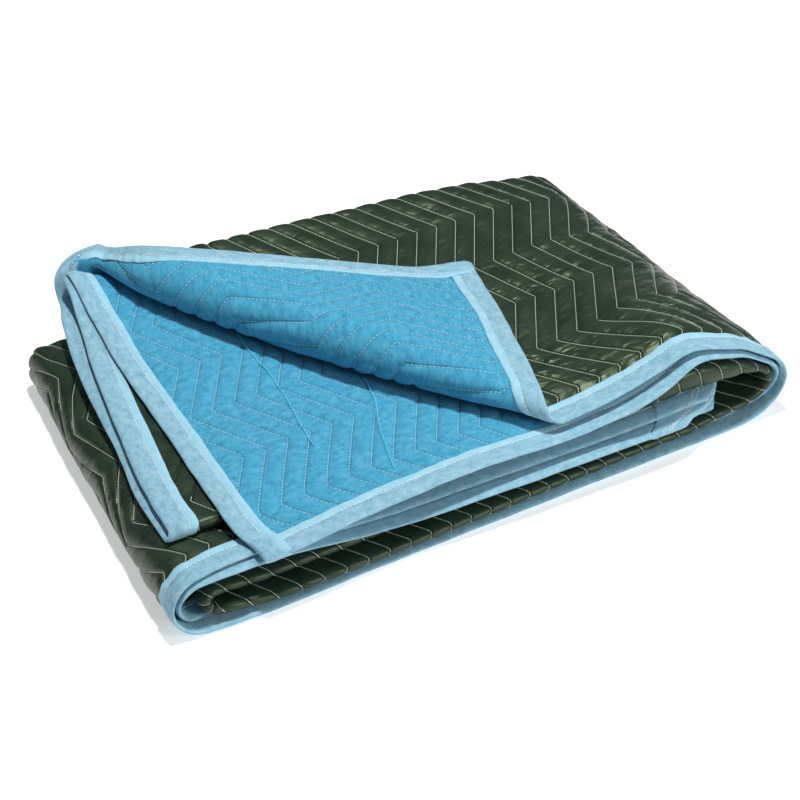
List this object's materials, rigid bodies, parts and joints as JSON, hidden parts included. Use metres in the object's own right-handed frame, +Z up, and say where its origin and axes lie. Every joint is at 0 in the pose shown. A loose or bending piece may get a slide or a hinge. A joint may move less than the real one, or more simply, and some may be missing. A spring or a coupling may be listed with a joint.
{
  "type": "moving blanket",
  "caption": "Quilted moving blanket, folded lengthwise and then in three, with the top corner peeled back to show its backing; bound edges.",
  "frame": {"origin": "centre of the folded blanket's bounding box, at its underside", "axes": "+X along the folded strip, from the left turn to the right turn; +Y from the front fold to the back fold; +Z up"},
  "size_m": [0.7246, 0.4969, 0.1484],
  "materials": {
    "quilted_cloth": "dark green woven face, quilted in zigzags, with a mid blue non-woven backing",
    "binding_tape": "light blue non-woven tape, matt"
  },
  "bodies": {
    "root": {"quilted_panel": "quilted_cloth", "side_binding_1": "binding_tape", "side_binding_2": "binding_tape", "end_binding_1": "binding_tape", "end_binding_2": "binding_tape"}
  },
  "joints": []
}
